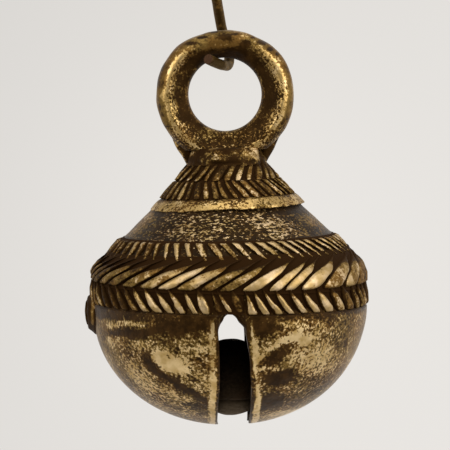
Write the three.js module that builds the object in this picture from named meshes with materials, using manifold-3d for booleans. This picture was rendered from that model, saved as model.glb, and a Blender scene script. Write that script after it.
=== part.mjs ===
// A cast brass crotal bell: a round, nearly closed bell with a slot through its bowl and a loose iron pellet
// inside, hung by its ring on an S-shaped wire hook. Millimetres, +Z up.
//
// The bell is laid out from its lowest point (z = 0) round its own axis. The slot runs front to back, the front is
// -Y and the left is -X. The finished assembly is then lowered so that the origin is the point it hangs from, the
// inner top of the hook's upper crook.

import * as THREE from 'three';
import { mergeVertices } from 'three/addons/utils/BufferGeometryUtils.js';
import Module from 'manifold-3d';

const wasm = await Module();
wasm.setup();

// ---------------------------------------------------------------------------------------------- driving sizes

const GAP = 0.3; // clearance between neighbouring solids
const SHELL_SIDES = 48;

// Bowl and dome
const BOWL_RADIUS = 35.5;
const BOWL_HEIGHT = 32.1; // from the lowest point to the widest level
const BOWL_FULLNESS = 2.1; // 2 is an ellipse, more is squarer
const CAVITY_RADIUS = 34.5;
const CAVITY_CENTRE = 37;
const SEAM_HEIGHT = 37.4; // the bowl ends here, under the braids
const NECK_TOP = 67.2;
const COLLAR_TOP = 71.1;

// Slot, front to back through the bottom
const SLOT_HALF_FOOT = 4.3;
const SLOT_HALF_TOP = 3.8;
const SLOT_SHOULDER = 28; // the straight sides end here
const SLOT_TOP = 31.9;

// Suspension ring, about an axis along Y
const RING_CENTRE = 85.2;
const RING_HOLE = 9.4;
const RING_RADIUS = 17.8;
const RING_CREST = 14.7; // the ridge between the outer rim and the dished inner face
const RING_HALF_DEPTH = 5;
const RING_WEAR = 1.2; // how much lower the worn top is than a true circle
const RING_SIDES = 40;

// Pellet
const PELLET_RADIUS = 10;
const PELLET_PLAY = 0.25; // above the two slot edges that it rests on

// Hook
const WIRE_RADIUS = 1.4;
const CROOK_RADIUS = 7.9; // to the middle of the wire
const CROOK_CENTRE = 119;
const CROOK_HEADING = THREE.MathUtils.degToRad(247); // the crook's plane, from +X, towards its front side
const HANG_HEIGHT = CROOK_CENTRE + CROOK_RADIUS - WIRE_RADIUS;

// Braids, from the bowl up. Each edge has the radius of the band's back, the radius of its crest and its height.
const BRAIDS = {
  shoulder_braid_lower: {
    foot: { back: 35.2, crest: 35.75, z: 31.35 },
    head: { back: 34.6, crest: 36.2, z: 37.35 },
    strokes: 58,
    lean: -0.75,
  },
  shoulder_braid_middle: {
    foot: { back: 34.5, crest: 36.2, z: 37.7 },
    head: { back: 31.45, crest: 32.9, z: 44.6 },
    strokes: 36,
    lean: 1.5,
  },
  shoulder_braid_upper: {
    foot: { back: 31.35, crest: 32.6, z: 44.9 },
    head: { back: 27.5, crest: 28.2, z: 48.5 },
    strokes: 60,
    lean: -1,
  },
  neck_braid_lower: {
    foot: { back: 17.3, crest: 18.1, z: 59.25 },
    head: { back: 13.2, crest: 14, z: 63.25 },
    strokes: 40,
    lean: -0.8,
  },
  neck_braid_upper: {
    foot: { back: 12.95, crest: 13.8, z: 63.55 },
    head: { back: 9.8, crest: 10.4, z: 67.1 },
    strokes: 28,
    lean: 1.2,
  },
};
const GROOVE_DEPTH = 0.5; // of a stroke's thickness
const NOTCH_HALF_ANGLE = 6.6; // degrees; the lower shoulder braid stops here on each side of the slot

// ---------------------------------------------------------------------------------------------- geometry helpers

/** Six times the volume that a triangle list encloses, positive when its faces point outward. */
function signedVolume(position, index) {
  const [a, b, c] = [new THREE.Vector3(), new THREE.Vector3(), new THREE.Vector3()];
  let total = 0;
  for (let i = 0; i < index.length; i += 3) {
    a.fromBufferAttribute(position, index[i]);
    b.fromBufferAttribute(position, index[i + 1]);
    c.fromBufferAttribute(position, index[i + 2]);
    total += a.dot(b.cross(c));
  }
  return total;
}

/** Share coincident vertices, drop collapsed triangles and turn the faces outward. */
function closed(source) {
  const bare = source.clone();
  bare.deleteAttribute('normal');
  bare.deleteAttribute('uv');
  const merged = mergeVertices(bare, 1e-3);
  const all = merged.index.array;
  const kept = [];
  for (let i = 0; i < all.length; i += 3) {
    const corners = [all[i], all[i + 1], all[i + 2]];
    if (new Set(corners).size === 3) kept.push(...corners);
  }
  if (signedVolume(merged.attributes.position, kept) < 0) kept.reverse();
  merged.setIndex(kept);
  return merged;
}

/** Join equal closed outlines into a solid. A looped loft has no ends; any other is capped round its middle. */
function loft(outlines, looped) {
  const count = outlines[0].length;
  const points = outlines.flat();
  const index = [];
  const spans = looped ? outlines.length : outlines.length - 1;
  for (let i = 0; i < spans; i += 1) {
    const here = i * count;
    const next = ((i + 1) % outlines.length) * count;
    for (let j = 0; j < count; j += 1) {
      const k = (j + 1) % count;
      index.push(here + j, next + j, next + k, here + j, next + k, here + k);
    }
  }
  if (!looped) {
    for (const last of [false, true]) {
      const start = last ? (outlines.length - 1) * count : 0;
      const middle = new THREE.Vector3();
      for (let j = 0; j < count; j += 1) {
        const k = (j + 1) % count;
        const edge = last ? [start + k, start + j] : [start + j, start + k];
        index.push(...edge, points.length);
        middle.addScaledVector(points[start + j], 1 / count);
      }
      points.push(middle);
    }
  }
  const geometry = new THREE.BufferGeometry().setFromPoints(points);
  geometry.setIndex(index);
  return closed(geometry);
}

/** A point at a radius, an azimuth in degrees from +X and a height. */
function around(radius, azimuth, z) {
  const angle = THREE.MathUtils.degToRad(azimuth);
  return new THREE.Vector3(radius * Math.cos(angle), radius * Math.sin(angle), z);
}

/** Turn a profile of [radius, height] pairs round the bell's axis. */
function turned(profile, sides = SHELL_SIDES) {
  const points = profile.map(([radius, z]) => new THREE.Vector2(radius, z));
  return closed(new THREE.LatheGeometry(points, sides).rotateX(Math.PI / 2));
}

/** Extrude an outline drawn in [x, z] pairs by a depth along Y, centred on y = 0. */
function plate(outline, depth) {
  const shape = new THREE.Shape(outline.map(([x, z]) => new THREE.Vector2(x, z)));
  const geometry = new THREE.ExtrudeGeometry(shape, { depth, bevelEnabled: false });
  return closed(geometry.translate(0, 0, -depth / 2).rotateX(Math.PI / 2));
}

function toManifold(geometry) {
  const mesh = new wasm.Mesh({
    numProp: 3,
    vertProperties: new Float32Array(geometry.attributes.position.array),
    triVerts: new Uint32Array(geometry.index.array),
  });
  return new wasm.Manifold(mesh);
}

/** What is left of one closed geometry when another is cut out of it. */
function cut(body, tool) {
  const mesh = toManifold(body).subtract(toManifold(tool)).getMesh();
  const geometry = new THREE.BufferGeometry();
  geometry.setAttribute('position', new THREE.BufferAttribute(mesh.vertProperties, 3));
  geometry.setIndex(new THREE.BufferAttribute(mesh.triVerts, 1));
  return geometry;
}

// ---------------------------------------------------------------------------------------------- shell

/** The bowl's outer radius at a height: a quarter of a superellipse. */
function bowlRadius(z) {
  const drop = (BOWL_HEIGHT - z) / BOWL_HEIGHT;
  return BOWL_RADIUS * (1 - Math.abs(drop) ** BOWL_FULLNESS) ** (1 / BOWL_FULLNESS);
}

/** Half the slot's width at a height on its straight sides. */
function slotHalfWidth(z) {
  return THREE.MathUtils.lerp(SLOT_HALF_FOOT, SLOT_HALF_TOP, z / SLOT_SHOULDER);
}

/** The slot's cutter: straight sides that close slightly upward, then a low arch. */
function slotTool() {
  const below = -5;
  const right = [
    [slotHalfWidth(below), below],
    [SLOT_HALF_TOP, SLOT_SHOULDER],
  ];
  for (const turn of [22, 45, 68, 90]) {
    const angle = THREE.MathUtils.degToRad(turn);
    const rise = (SLOT_TOP - SLOT_SHOULDER) * Math.sin(angle);
    right.push([SLOT_HALF_TOP * Math.cos(angle), SLOT_SHOULDER + rise]);
  }
  const left = right.slice(0, -1).map(([x, z]) => [-x, z]);
  return plate([...right, ...left.reverse()], 3 * BOWL_RADIUS);
}

function bowl() {
  const profile = [[0, 0]];
  for (let turn = 10; turn < 80; turn += 10) {
    const angle = THREE.MathUtils.degToRad(turn);
    const z = BOWL_HEIGHT * (1 - Math.cos(angle) ** (2 / BOWL_FULLNESS));
    profile.push([bowlRadius(z), z]);
  }
  profile.push([bowlRadius(31), 31], [34.9, 31.1], [34.3, SEAM_HEIGHT]);
  profile.push([31.6, SEAM_HEIGHT], [32.6, 35], [32.7, 28.5]);
  const rim = 20.5; // degrees below the cavity's centre where its straight wall becomes a sphere
  for (let turn = rim; turn < 90; turn += 11.5) {
    const angle = THREE.MathUtils.degToRad(turn);
    profile.push([CAVITY_RADIUS * Math.cos(angle), CAVITY_CENTRE - CAVITY_RADIUS * Math.sin(angle)]);
  }
  profile.push([0, CAVITY_CENTRE - CAVITY_RADIUS]);
  return cut(turned(profile), slotTool());
}

function dome() {
  const seam = SEAM_HEIGHT + GAP;
  return turned([
    [31.4, seam],
    [34.2, seam],
    [31.05, 44.7],
    [27.1, 48.6],
    [19.4, 56.2],
    [16.9, 59.1],
    [12.7, 63.3],
    [9.5, 66.6],
    [9.3, NECK_TOP],
    [0, NECK_TOP],
    [0, 61.8],
    [4.5, 61.4],
    [9.5, 59.4],
    [16.9, 54.6],
    [24.4, 47.2],
    [28.2, 43.9],
    [31.4, seam],
  ]);
}

function neckCollar() {
  const foot = NECK_TOP + GAP;
  return turned(
    [
      [0, foot],
      [9.9, foot],
      [10.2, 68.2],
      [9.8, 69.3],
      [9.2, 70.2],
      [9.1, COLLAR_TOP],
      [0, COLLAR_TOP],
    ],
    32,
  );
}

// ---------------------------------------------------------------------------------------------- bands

/**
 * A band of slanted strokes lying round the bell. The strokes lean: a stroke's head is `lean` stroke widths
 * further round than its foot. An open band runs from one azimuth to another and has square ends.
 */
function braid({ foot, head, strokes, lean }, from = 0, to = 360) {
  const looped = to - from === 360;
  const sections = 2 * Math.round((strokes * (to - from)) / 360);
  const step = (to - from) / sections;
  const outlines = [];
  for (let i = 0; i < (looped ? sections : sections + 1); i += 1) {
    const isEnd = !looped && (i === 0 || i === sections);
    const relief = i % 2 === 0 ? 1 : GROOVE_DEPTH;
    const outline = [
      [0, 0],
      [0, 0.6 * relief],
      [0.2, relief],
      [0.8, relief],
      [1, 0.6 * relief],
      [1, 0],
    ];
    outlines.push(
      outline.map(([up, out]) => {
        const back = THREE.MathUtils.lerp(foot.back, head.back, up);
        const crest = THREE.MathUtils.lerp(foot.crest, head.crest, up);
        const shift = isEnd ? 0 : lean * (up - 0.5) * 2 * step;
        const z = THREE.MathUtils.lerp(foot.z, head.z, up);
        return around(THREE.MathUtils.lerp(back, crest, out), from + i * step + shift, z);
      }),
    );
  }
  return loft(outlines, looped);
}

/** The plain ribbon between the neck's braids and the bare cone, with a hand-pressed lower edge. */
function ribbonBand() {
  const sides = 48;
  const outlines = [];
  for (let i = 0; i < sides; i += 1) {
    const azimuth = (360 * i) / sides;
    const angle = THREE.MathUtils.degToRad(azimuth);
    const foot = 56.2 + 0.25 * Math.sin(3 * angle + 1) + 0.15 * Math.sin(7 * angle);
    const head = 58.95;
    const cone = (z) => 19.4 - (z - 56.2) * 0.86; // the shell's radius under the ribbon
    outlines.push([
      around(cone(foot) + 0.45, azimuth, foot),
      around(cone(foot) + 0.95, azimuth, foot + 0.1),
      around(cone(foot) + 0.6, azimuth, foot + 0.9),
      around(cone(head) + 1.2, azimuth, head - 0.1),
      around(cone(head) + 0.45, azimuth, head),
    ]);
  }
  return loft(outlines, true);
}

/** The pressed-down tab that bridges a slot in the lower shoulder braid. */
function slotTab(middle) {
  const outlines = [-5.6, -2.8, 0, 2.8, 5.6].map((turn) => [
    around(35.2, middle + turn, 32.1),
    around(35.8, middle + turn, 32.1),
    around(35.65, middle + turn, 37.05),
    around(34.6, middle + turn, 37.05),
  ]);
  return loft(outlines, false);
}

// ---------------------------------------------------------------------------------------------- suspension

function suspensionRing() {
  const half = [
    [RING_HOLE, 0],
    [RING_HOLE + 0.2, 1.3],
    [RING_HOLE + 0.8, 2.4],
    [RING_CREST - 0.5, RING_HALF_DEPTH - 0.1],
    [RING_CREST + 0.3, RING_HALF_DEPTH],
    [16.4, 4.5],
    [17.4, 3.1],
    [RING_RADIUS, 1.3],
  ];
  const mirrored = half.slice(1).map(([radius, y]) => [radius, -y]);
  const section = [...half, ...mirrored.reverse()];
  const outlines = [];
  for (let i = 0; i < RING_SIDES; i += 1) {
    const angle = (2 * Math.PI * i) / RING_SIDES;
    const wear = RING_WEAR * Math.max(0, Math.sin(angle)) ** 3;
    outlines.push(
      section.map(([radius, y]) => {
        const worn = radius - wear * THREE.MathUtils.smoothstep(radius, RING_HOLE + 1, RING_RADIUS);
        return new THREE.Vector3(worn * Math.cos(angle), y, RING_CENTRE + worn * Math.sin(angle));
      }),
    );
  }
  const seat = COLLAR_TOP + GAP;
  const below = new THREE.BoxGeometry(60, 30, 30).translate(0, 0, seat - 15);
  return cut(loft(outlines, true), closed(below));
}

/** The web between the ring and the collar on one side: -1 is left, 1 is right. */
function ringGusset(side) {
  const clear = RING_RADIUS + GAP;
  const arc = [73.5, 72.8, 72, COLLAR_TOP].map((z) => [Math.sqrt(clear ** 2 - (RING_CENTRE - z) ** 2), z]);
  const outline = [...arc, [9.5, COLLAR_TOP], [9.6, 70.3], [10.2, 69.3], [10.6, 68.3], [10.7, 67.8], [11, 67.8]];
  return plate(
    outline.map(([x, z]) => [side * x, z]),
    3.4,
  );
}

/** Azimuth of the almond boss's middle: the left side, a little to the front. */
const LEAF_AZIMUTH = 185;

/** The almond boss on the left of the bowl, lying over the lower shoulder braid. */
function sideLeaf() {
  const levels = [
    { z: 24, half: 0.9, inner: bowlRadius(24) + 0.3, outer: bowlRadius(24) + 1.1 },
    { z: 26, half: 5.8, inner: bowlRadius(26) + 0.3, outer: 36.8 },
    { z: 28.4, half: 9.4, inner: bowlRadius(28.4) + 0.3, outer: 37.3 },
    { z: 31.1, half: 10.8, inner: 35.9, outer: 37.4 },
    { z: 32.2, half: 10.1, inner: 36.3, outer: 37.3 },
    { z: 34.4, half: 5.8, inner: 36.5, outer: 37 },
    { z: 35.6, half: 1.4, inner: 36.6, outer: 36.9 },
  ];
  const outlines = levels.map(({ z, half, inner, outer }) => {
    const rim = THREE.MathUtils.lerp(inner, outer, 0.5);
    return [
      around(inner, LEAF_AZIMUTH - half, z),
      around(inner, LEAF_AZIMUTH, z),
      around(inner, LEAF_AZIMUTH + half, z),
      around(rim, LEAF_AZIMUTH + half, z),
      around(outer, LEAF_AZIMUTH + 0.5 * half, z),
      around(outer, LEAF_AZIMUTH, z),
      around(outer, LEAF_AZIMUTH - 0.5 * half, z),
      around(rim, LEAF_AZIMUTH - half, z),
    ];
  });
  return loft(outlines, false);
}

// ---------------------------------------------------------------------------------------------- moving pieces

/** How high the pellet's middle is when it sits on the slot's two inner edges. */
function pelletHeight() {
  const edge = slotHalfWidth(CAVITY_CENTRE - CAVITY_RADIUS);
  const edgeDepth = Math.sqrt(CAVITY_RADIUS ** 2 - edge ** 2);
  return CAVITY_CENTRE - edgeDepth + Math.sqrt(PELLET_RADIUS ** 2 - edge ** 2) + PELLET_PLAY;
}

function pellet() {
  return closed(new THREE.IcosahedronGeometry(PELLET_RADIUS, 4)).translate(0, 0, pelletHeight());
}

/** The wire, from its cut front end, under the ring's top, up behind it and over into the upper crook. */
function hangingHook() {
  const route = [
    [-4.1, -7.6, 94.3],
    [-2.3, -4.2, 93.4],
    [-0.9, -1.6, 92.85],
    [-0.4, 0, 92.75],
    [0.1, 1.6, 92.65],
    [0.85, 4.2, 92.65],
    [1.3, 6.5, 94],
    [1, 7.6, 97],
    [0.2, 7.5, 99.7],
    [-0.5, 6.5, 102.3],
    [-1, 4.2, 105.3],
    [-1.6, -0.1, 109.3],
    [-2.3, -4.6, 113.3],
    [-2.8, -6.9, 116.2],
  ].map((p) => new THREE.Vector3(...p));
  for (let turn = 0; turn <= 210; turn += 30) {
    const angle = THREE.MathUtils.degToRad(turn);
    const out = CROOK_RADIUS * Math.cos(angle);
    const [x, y] = [out * Math.cos(CROOK_HEADING), out * Math.sin(CROOK_HEADING)];
    route.push(new THREE.Vector3(x, y, CROOK_CENTRE + CROOK_RADIUS * Math.sin(angle)));
  }
  const section = new THREE.Shape().absarc(0, 0, WIRE_RADIUS, 0, 2 * Math.PI);
  const path = new THREE.CatmullRomCurve3(route);
  return closed(
    new THREE.ExtrudeGeometry(section, { steps: 56, curveSegments: 5, bevelEnabled: false, extrudePath: path }),
  );
}

// ---------------------------------------------------------------------------------------------- assembly

const BRASS_DARK = { color: 0x5c4828, roughness: 0.45, metalness: 0.9 };
const BRASS_WORN = { color: 0x8a7044, roughness: 0.35, metalness: 0.95 };
const BRASS_POLISHED = { color: 0xb89a5e, roughness: 0.25, metalness: 1 };
const IRON = { color: 0x37302a, roughness: 0.65, metalness: 0.8 };
const WIRE = { color: 0x4a3a20, roughness: 0.5, metalness: 0.9 };

function named(name, geometry, finish) {
  const mesh = new THREE.Mesh(geometry, new THREE.MeshStandardMaterial(finish));
  mesh.name = name;
  return mesh;
}

const bell = new THREE.Group();
bell.add(
  named('bowl', bowl(), BRASS_DARK),
  named('dome', dome(), BRASS_DARK),
  named('neck_collar', neckCollar(), BRASS_WORN),
  named('suspension_ring', suspensionRing(), BRASS_WORN),
  named('ring_gusset_left', ringGusset(-1), BRASS_WORN),
  named('ring_gusset_right', ringGusset(1), BRASS_WORN),
  named('ribbon_band', ribbonBand(), BRASS_POLISHED),
  named('side_leaf', sideLeaf(), BRASS_DARK),
  named('slot_tab_front', slotTab(270), BRASS_WORN),
  named('slot_tab_back', slotTab(90), BRASS_WORN),
);
for (const name of ['shoulder_braid_middle', 'shoulder_braid_upper', 'neck_braid_lower', 'neck_braid_upper']) {
  bell.add(named(name, braid(BRAIDS[name]), BRASS_WORN));
}
for (const [side, middle] of [
  ['left', 180],
  ['right', 0],
]) {
  const reach = 90 - NOTCH_HALF_ANGLE;
  const half = braid(BRAIDS.shoulder_braid_lower, middle - reach, middle + reach);
  bell.add(named(`shoulder_braid_lower_${side}`, half, BRASS_WORN));
}

const assembly = new THREE.Group();
assembly.add(bell, named('pellet', pellet(), IRON), named('hanging_hook', hangingHook(), WIRE));
assembly.position.z = -HANG_HEIGHT;

const part = new THREE.Group();
part.add(assembly);

export default part;
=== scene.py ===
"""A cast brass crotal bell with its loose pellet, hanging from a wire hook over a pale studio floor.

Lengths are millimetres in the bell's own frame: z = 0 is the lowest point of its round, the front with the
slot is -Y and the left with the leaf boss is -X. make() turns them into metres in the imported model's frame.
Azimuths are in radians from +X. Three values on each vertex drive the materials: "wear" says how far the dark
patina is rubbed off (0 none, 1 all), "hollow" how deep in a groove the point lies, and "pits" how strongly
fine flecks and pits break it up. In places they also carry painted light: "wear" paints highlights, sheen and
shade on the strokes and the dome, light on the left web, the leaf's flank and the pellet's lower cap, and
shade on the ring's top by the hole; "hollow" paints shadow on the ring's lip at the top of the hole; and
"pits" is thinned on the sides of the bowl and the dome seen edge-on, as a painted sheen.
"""
import math

import bmesh
import bpy
import numpy as np
from mathutils import Euler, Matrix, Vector


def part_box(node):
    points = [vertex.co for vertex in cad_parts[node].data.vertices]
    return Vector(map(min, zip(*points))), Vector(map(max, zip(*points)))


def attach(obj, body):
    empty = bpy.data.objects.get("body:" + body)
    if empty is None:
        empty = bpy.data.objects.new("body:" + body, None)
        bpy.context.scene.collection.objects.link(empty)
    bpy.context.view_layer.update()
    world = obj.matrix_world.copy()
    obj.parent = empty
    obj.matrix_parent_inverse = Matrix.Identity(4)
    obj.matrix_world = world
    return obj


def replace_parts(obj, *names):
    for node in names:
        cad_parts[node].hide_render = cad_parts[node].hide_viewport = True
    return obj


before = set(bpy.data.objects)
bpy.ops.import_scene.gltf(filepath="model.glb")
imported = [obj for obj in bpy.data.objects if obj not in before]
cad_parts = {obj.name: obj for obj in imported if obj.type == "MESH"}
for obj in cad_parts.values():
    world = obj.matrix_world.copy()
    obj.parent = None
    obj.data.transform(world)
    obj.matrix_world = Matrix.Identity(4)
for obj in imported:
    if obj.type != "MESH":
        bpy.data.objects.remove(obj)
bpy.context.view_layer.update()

MM = 0.001
TAU = 2 * math.pi
FRONT, BACK = -math.pi / 2, math.pi / 2

# Heights and radii of the bell, in mm
NECK_TOP = 67.2
BOWL_RADIUS, BOWL_HEIGHT, BOWL_FULLNESS = 35.5, 32.1, 2.1
CAVITY_RADIUS, CAVITY_CENTRE, CAVITY_WALL = 34.5, 37.0, 32.7
RIM_HEIGHT = 37.4
SLOT_HALF_FOOT, SLOT_HALF_TOP, SLOT_SHOULDER, SLOT_TOP = 4.3, 3.8, 28.0, 31.9
RING_CENTRE = 85.2
PELLET_RADIUS = 9.9
WIRE_RADIUS = 1.4
LEAF_AZIMUTH = 185.0
SHOULDER_TILT = -0.028  # the lowest braid and the foot of the middle one lie a little higher on the left
BELL_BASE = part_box("dome")[1].z / MM - NECK_TOP  # where z = 0 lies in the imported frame, in mm

# -------------------- helpers --------------------


def lerp(a, b, t):
    return a + (b - a) * t


def smoothstep(low, high, x):
    t = np.clip((np.asarray(x, float) - low) / (high - low), 0, 1)
    return t * t * (3 - 2 * t)


def hump(x, middle, reach):
    """A rounded hump: 1 at its middle and falling off on both sides."""
    return np.exp(-(((x - middle) / reach) ** 2))


def around(radius, azimuth, z):
    """Points at a radius, an azimuth and a height; the arguments broadcast."""
    radius, azimuth, z = np.broadcast_arrays(radius, azimuth, z)
    return np.stack([radius * np.cos(azimuth), radius * np.sin(azimuth), z], -1)


def wobble(points, size, seed, waves=16):
    """A smooth random field, about -1 to 1, whose bumps are about `size` mm across."""
    draw = np.random.default_rng(seed)
    heading = draw.normal(size=(waves, 3))
    heading /= np.linalg.norm(heading, axis=1)[:, None]
    heading *= (TAU / (size * draw.uniform(1.2, 2.8, waves)))[:, None]
    phase = draw.uniform(0, TAU, waves)
    return np.sin(points @ heading.T + phase).sum(-1) / math.sqrt(2 * waves)


def grid_faces(rows, columns, wrap_rows=False, wrap_columns=False):
    """Quads over a grid of points stored row by row."""
    i = np.arange(rows if wrap_rows else rows - 1)[:, None]
    j = np.arange(columns if wrap_columns else columns - 1)[None, :]
    i2, j2 = (i + 1) % rows, (j + 1) % columns
    corners = [i * columns + j, i2 * columns + j, i2 * columns + j2, i * columns + j2]
    return np.stack(corners, -1).reshape(-1, 4)


def tube_faces(rings, columns):
    """Quads along a tube of points stored ring by ring, and a face over each end."""
    faces = [tuple(f) for f in grid_faces(rings, columns, wrap_columns=True)]
    first, last = range(columns), range((rings - 1) * columns, rings * columns)
    return faces + [tuple(first)[::-1], tuple(last)]


def degrees_from_front(points):
    """Each point's azimuth from the front, in degrees, negative on the left."""
    return np.degrees(np.arctan2(points[:, 0], -points[:, 1]))


def make(name, points, faces, material, body, replaces, wear=0.5, hollow=0.0, pits=1.0, weld=0.002):
    """A closed smooth mesh from points in mm, welded, facing out, riding on a body."""
    points = np.asarray(points, float).reshape(-1, 3)
    mesh = bpy.data.meshes.new(name)
    mesh.from_pydata(((points + [0, 0, BELL_BASE]) * MM).tolist(), [], [list(map(int, f)) for f in faces])
    for label, values in (("wear", wear), ("hollow", hollow), ("pits", pits)):
        layer = mesh.attributes.new(label, "FLOAT", "POINT")
        layer.data.foreach_set("value", np.broadcast_to(np.ravel(values), len(points)).astype(np.float32))
    shape = bmesh.new()
    shape.from_mesh(mesh)
    bmesh.ops.remove_doubles(shape, verts=shape.verts, dist=weld * MM)
    bmesh.ops.dissolve_degenerate(shape, edges=shape.edges, dist=0.1 * weld * MM)
    bmesh.ops.recalc_face_normals(shape, faces=shape.faces)
    shape.to_mesh(mesh)
    shape.free()
    mesh.shade_smooth()
    mesh.set_sharp_from_angle(angle=math.radians(50))
    mesh.materials.append(material)
    piece = bpy.data.objects.new(name, mesh)
    bpy.context.scene.collection.objects.link(piece)
    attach(piece, body)
    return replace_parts(piece, *replaces)


# -------------------- materials --------------------


class Nodes:
    """Short names for making the nodes of a material or a world."""

    def __init__(self, owner, shader="Principled BSDF", coordinate="Object"):
        self.owner = owner
        owner.use_nodes = True
        self.tree = owner.node_tree
        self.shader = self.tree.nodes[shader]
        self.coordinate = self.tree.nodes.new("ShaderNodeTexCoord").outputs[coordinate]

    def put(self, socket, value):
        if isinstance(value, bpy.types.NodeSocket):
            self.tree.links.new(value, socket)
        else:
            socket.default_value = value

    def shade(self, **inputs):
        """Set or link the shader's inputs, named with underscores for spaces."""
        for label, value in inputs.items():
            self.put(self.shader.inputs[label.replace("_", " ")], value)

    def attribute(self, label):
        node = self.tree.nodes.new("ShaderNodeAttribute")
        node.attribute_name = label
        return node.outputs["Fac"]

    def noise(self, size, detail=3.0, roughness=0.55, stretch=(1, 1, 1), offset=0.0):
        """Noise whose features are about `size` mm across."""
        place = self.tree.nodes.new("ShaderNodeMapping")
        place.inputs["Scale"].default_value = [1 / (MM * size * s) for s in stretch]
        place.inputs["Location"].default_value = (offset, 2.3 * offset, 3.1 * offset)
        self.put(place.inputs["Vector"], self.coordinate)
        node = self.tree.nodes.new("ShaderNodeTexNoise")
        node.inputs["Scale"].default_value = 1.0
        node.inputs["Detail"].default_value = detail
        node.inputs["Roughness"].default_value = roughness
        self.put(node.inputs["Vector"], place.outputs["Vector"])
        return node.outputs["Fac"]

    def math(self, operation, a, b=0.0, c=0.0):
        node = self.tree.nodes.new("ShaderNodeMath")
        node.operation = operation
        for socket, value in zip(node.inputs, (a, b, c)):
            self.put(socket, value)
        return node.outputs[0]

    def ramp(self, value, low, high, to_low=0.0, to_high=1.0):
        node = self.tree.nodes.new("ShaderNodeMapRange")
        node.interpolation_type = "SMOOTHSTEP"
        labels = ("Value", "From Min", "From Max", "To Min", "To Max")
        for label, setting in zip(labels, (value, low, high, to_low, to_high)):
            self.put(node.inputs[label], setting)
        return node.outputs["Result"]

    def mix(self, factor, a, b):
        node = self.tree.nodes.new("ShaderNodeMix")
        node.data_type = "RGBA"
        for socket, value in ((node.inputs[0], factor), (node.inputs[6], a), (node.inputs[7], b)):
            self.put(socket, value if isinstance(value, (bpy.types.NodeSocket, float)) else (*value, 1.0))
        return node.outputs[2]

    def bump(self, height, distance, strength=1.0, under=None):
        node = self.tree.nodes.new("ShaderNodeBump")
        node.inputs["Strength"].default_value = strength
        node.inputs["Distance"].default_value = distance * MM
        self.put(node.inputs["Height"], height)
        if under is not None:
            self.put(node.inputs["Normal"], under)
        return node.outputs["Normal"]


# Colours: pale and deep patches of the bare metal, the thin film, dark and warm clouds of the crust, and the
# soot in the grooves.
SHELL_BRASS = ((0.83, 0.625, 0.325), (0.54, 0.36, 0.13))
# A darker copy of the shell's brass for the strokes and the cone: painted shade that holds down how bright
# they come out where they face the lamps.
SHADED_STROKE_BRASS = ((0.66, 0.495, 0.29), (0.43, 0.295, 0.12))
THIN_OLIVE, THIN_BROWN = (0.27, 0.168, 0.044), (0.22, 0.115, 0.026)
PATINA = ((0.015, 0.0064, 0.0015), (0.042, 0.0195, 0.0048))
# A darker copy of the patina for the cone: painted shade that offsets the top lamp's light on the cone.
SHADED_CONE_PATINA = ((0.006, 0.0026, 0.0006), (0.020, 0.0095, 0.0024))
SOOT = (0.02, 0.0085, 0.0026)
# How much wear makes the film whole, and between which two the bare metal comes through
FILM_TO, BARE_FROM, BARE_TO = 0.46, 0.48, 0.55


def worn_brass(
    name, mottle, mottle_reach, fleck, fleck_reach, stretch=(1, 1, 1), seed=0.0, deep=0.0, film_from=0.28,
    metal=SHELL_BRASS, crust=PATINA, dull=0.0, sheen=0.0,
):
    """Brass under a dark patina, which turns thin and goes as wear, broken up by two noises, rises. mottle
    and fleck are the sizes of the noises in mm and their reaches how far they shift the wear. deep darkens
    the metal, film_from is the wear at which the film starts, dull adds roughness and sheen a pale bloom."""
    n = Nodes(bpy.data.materials.new(name))
    wear = n.attribute("wear")
    hollow = n.attribute("hollow")
    pits = n.attribute("pits")
    patches = n.noise(mottle, detail=4.0, roughness=0.6, stretch=stretch, offset=seed)
    flecks = n.noise(fleck, detail=2.5, roughness=0.6, stretch=stretch, offset=seed + 7)
    coarse = n.math("MULTIPLY_ADD", n.math("SUBTRACT", patches, 0.5), mottle_reach, wear)
    flecks = n.math("MULTIPLY", n.math("SUBTRACT", flecks, 0.5), n.math("MULTIPLY", pits, fleck_reach))
    score = n.math("ADD", flecks, coarse)
    bare = n.ramp(score, BARE_FROM, BARE_TO)
    thin = n.ramp(score, film_from, FILM_TO)
    tone = n.ramp(n.noise(3.0, detail=3.0, offset=seed + 3), 0.36 - deep, 0.66 - deep)
    brass = n.mix(tone, *metal)
    brown = n.ramp(n.noise(8.0, detail=3.0, offset=seed + 5), 0.42, 0.6)
    film = n.mix(brown, THIN_OLIVE, THIN_BROWN)
    cloud = n.ramp(n.noise(2.5, detail=5.0, roughness=0.65, offset=seed + 11), 0.38, 0.66)
    dark = n.mix(hollow, n.mix(cloud, *crust), SOOT)
    colour = n.mix(bare, n.mix(n.math("MULTIPLY", thin, 0.8), dark, film), brass)
    shown = n.math("MAXIMUM", n.math("MULTIPLY", bare, 0.95), n.math("MULTIPLY", thin, 0.8))
    tint = n.mix(shown, (1.0, 0.58, 0.2), (1.0, 1.0, 1.0))
    grain = n.noise(0.5, detail=3.0, offset=seed + 17)
    rough = n.math("MULTIPLY_ADD", grain, 0.2, n.ramp(coarse, 0.3, 0.8, 0.34 + dull, 0.22 + dull))
    rough = n.math("MULTIPLY_ADD", hollow, 0.35, rough)
    n.shade(Base_Color=colour, Metallic=shown, Roughness=rough, Specular_IOR_Level=0.13, Specular_Tint=tint)
    n.shade(Sheen_Weight=sheen, Sheen_Roughness=0.3, Sheen_Tint=(1.0, 0.93, 0.88, 1.0))
    surface = n.bump(grain, 0.05, 0.5)
    surface = n.bump(n.math("ADD", bare, thin), 0.05, 0.7, under=surface)
    surface = n.bump(n.noise(2.4, detail=2.0, offset=seed + 23), 0.3, 0.5, under=surface)
    n.shade(Normal=surface)
    return n.owner


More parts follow.
